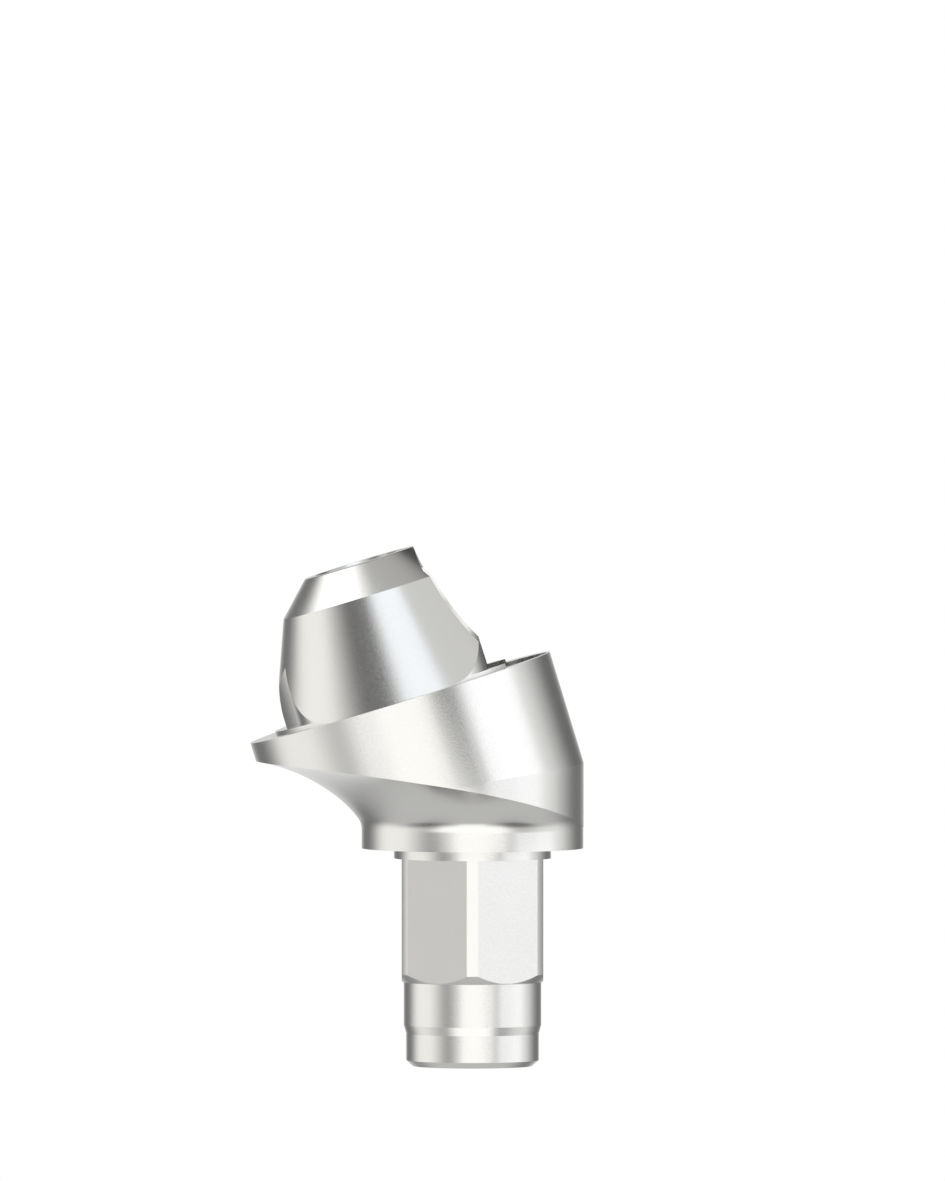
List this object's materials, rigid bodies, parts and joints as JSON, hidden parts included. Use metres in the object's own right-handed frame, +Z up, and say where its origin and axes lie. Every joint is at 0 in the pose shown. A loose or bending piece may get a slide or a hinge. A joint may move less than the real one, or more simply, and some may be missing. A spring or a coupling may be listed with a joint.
{
  "type": "angled dental abutment",
  "caption": "Tilted screw-retained dental abutment: hexagonal implant post, flared collar, angled seating disc and indexed cone with a screw channel and a threaded hole.",
  "frame": {"origin": "centre of the platform's underside, where the implant axis crosses the plane that seats on the implant", "axes": "+Z up the implant axis, away from the implant; the prosthetic axis leans 17 degrees towards -X; the part is symmetric about the XZ plane"},
  "size_m": [0.0051, 0.0048, 0.0079],
  "materials": {
    "titanium": "satin machined titanium, neutral silver"
  },
  "bodies": {
    "root": {"abutment_body": "titanium"}
  },
  "joints": []
}
